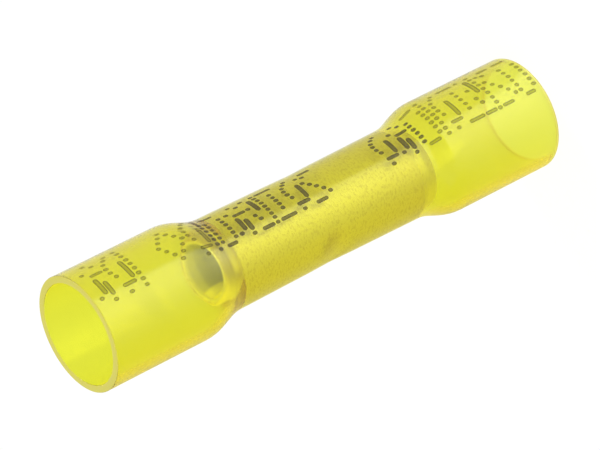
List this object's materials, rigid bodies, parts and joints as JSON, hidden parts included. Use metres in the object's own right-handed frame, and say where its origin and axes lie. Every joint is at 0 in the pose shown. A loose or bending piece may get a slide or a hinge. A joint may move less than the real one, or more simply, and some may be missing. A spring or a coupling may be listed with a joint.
{
  "type": "heat-shrink butt connector",
  "caption": "Butt connector with a rolled metal barrel gripped in a clear yellow shrink sleeve that has a wide mouth at each end.",
  "frame": {"origin": "centre of the lower mouth, on the surface that the connector stands on", "axes": "+Z along the tube's axis, up from the lower mouth to the upper one; the barrel's wire stop is punched in from the side that lies 148 degrees clockwise of +X, seen from above"},
  "size_m": [0.0086, 0.0086, 0.041],
  "materials": {
    "yellow_plastic": "clear yellow shrink tubing, smooth and slightly waxy, see-through",
    "tinned_metal": "tin plate over copper, satin with a fine mottle"
  },
  "bodies": {
    "root": {"sleeve": "yellow_plastic", "barrel": "tinned_metal"}
  },
  "joints": []
}
